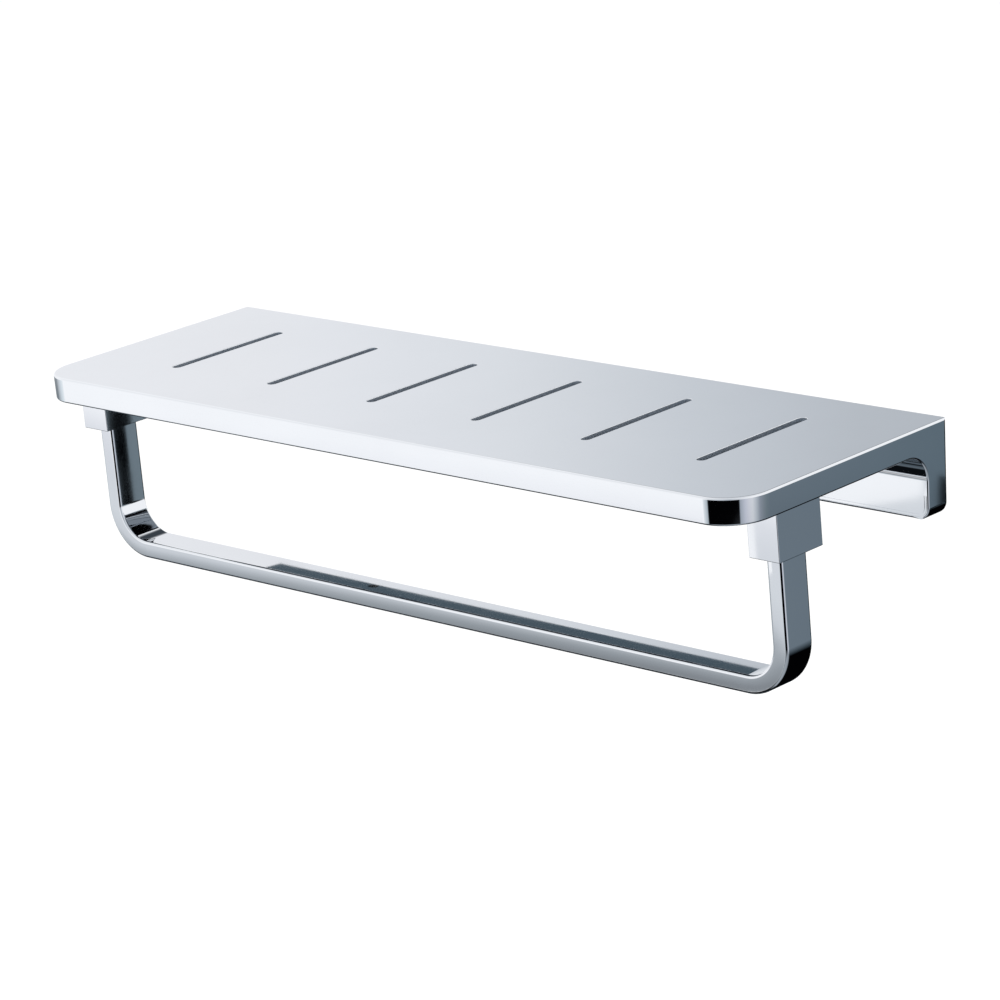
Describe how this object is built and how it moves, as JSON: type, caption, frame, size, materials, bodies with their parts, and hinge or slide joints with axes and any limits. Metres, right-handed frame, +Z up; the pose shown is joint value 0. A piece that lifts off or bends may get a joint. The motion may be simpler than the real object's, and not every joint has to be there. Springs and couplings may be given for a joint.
{
  "type": "towel rack",
  "caption": "Wall-mounted chrome shelf with drain slots and a fixed flat towel bar hung under its front edge; hooks over hidden wall brackets.",
  "frame": {"origin": "middle of the rear flange's wall face, half way up its 39 mm height", "axes": "+X along the shelf, to the right for someone facing the wall; +Y into the wall, so the shelf reaches out along -Y; +Z up"},
  "size_m": [0.4, 0.125, 0.088],
  "materials": {
    "polished_chrome": "mirror-polished chrome plating",
    "cast_zinc": "plain die-cast zinc",
    "zinc_steel": "bright zinc-plated steel",
    "black_steel": "black-oxide alloy steel",
    "soft_pad": "closed-cell foam with a self-adhesive back"
  },
  "bodies": {
    "root": {"shelf_body": "polished_chrome", "left_post": "polished_chrome", "right_post": "polished_chrome", "towel_bar": "polished_chrome", "left_post_screw": "black_steel", "right_post_screw": "black_steel", "left_post_washer": "zinc_steel", "right_post_washer": "zinc_steel", "left_post_dowels": "zinc_steel", "right_post_dowels": "zinc_steel", "left_bar_lock_screw": "black_steel", "right_bar_lock_screw": "black_steel", "left_wall_bracket": "cast_zinc", "right_wall_bracket": "cast_zinc", "left_shelf_lock_screw": "black_steel", "right_shelf_lock_screw": "black_steel", "left_wall_pad": "soft_pad", "right_wall_pad": "soft_pad"}
  },
  "joints": []
}
